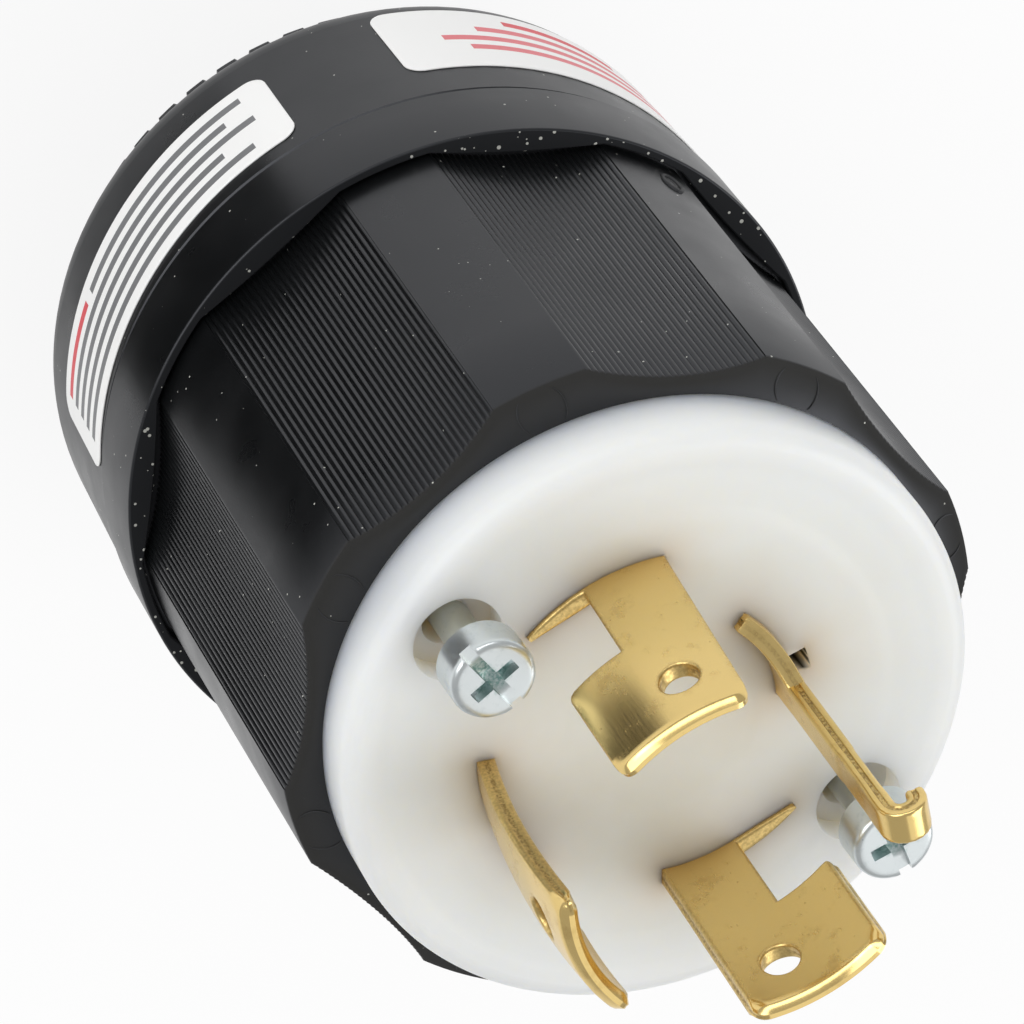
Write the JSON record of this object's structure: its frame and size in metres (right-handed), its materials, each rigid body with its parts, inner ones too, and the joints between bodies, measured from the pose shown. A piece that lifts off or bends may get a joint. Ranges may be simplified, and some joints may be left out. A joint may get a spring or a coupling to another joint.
{
  "type": "locking power plug",
  "caption": "Round cord-end locking plug: black ribbed grip and rear shell, white face with curved brass blades and a hooked ground blade, toothed gland nut with a rubber cord seal.",
  "frame": {"origin": "middle of the gland nut's rear face, the plug's lowest point", "axes": "+Z along the plug's axis towards the blades; the grip's lands are centred on the X and Y axes and between them"},
  "size_m": [0.0566, 0.0566, 0.1007],
  "materials": {
    "white_nylon": "moulded nylon, slightly translucent, satin",
    "black_nylon": "moulded nylon, satin",
    "brass": "stamped sheet, a little tarnished",
    "zinc_plated_steel": "zinc plated with a bluish tint",
    "nickel_plated_steel": "nickel plated",
    "green_steel": "green coated screw",
    "phenolic": "moulded phenolic, brown",
    "rubber": "moulded rubber",
    "paper_sticker": "coated paper sticker with plain printed bars"
  },
  "bodies": {
    "root": {"front_face": "white_nylon", "blade_line_1": "brass", "blade_line_2": "brass", "blade_neutral": "brass", "blade_ground": "brass", "assembly_screws": "zinc_plated_steel", "screw_inserts": "brass", "grip_shell": "black_nylon", "rear_shell": "black_nylon", "terminal_block": "phenolic", "clamp_plate_line_1": "brass", "clamp_plate_line_2": "brass", "clamp_plate_neutral": "brass", "clamp_plate_ground": "brass", "terminal_screws_line": "brass", "terminal_screw_neutral": "nickel_plated_steel", "terminal_screw_ground": "green_steel", "gland_nut": "black_nylon", "thrust_washer": "zinc_plated_steel", "cord_seal": "rubber", "label_left": "paper_sticker", "label_right": "paper_sticker"}
  },
  "joints": []
}
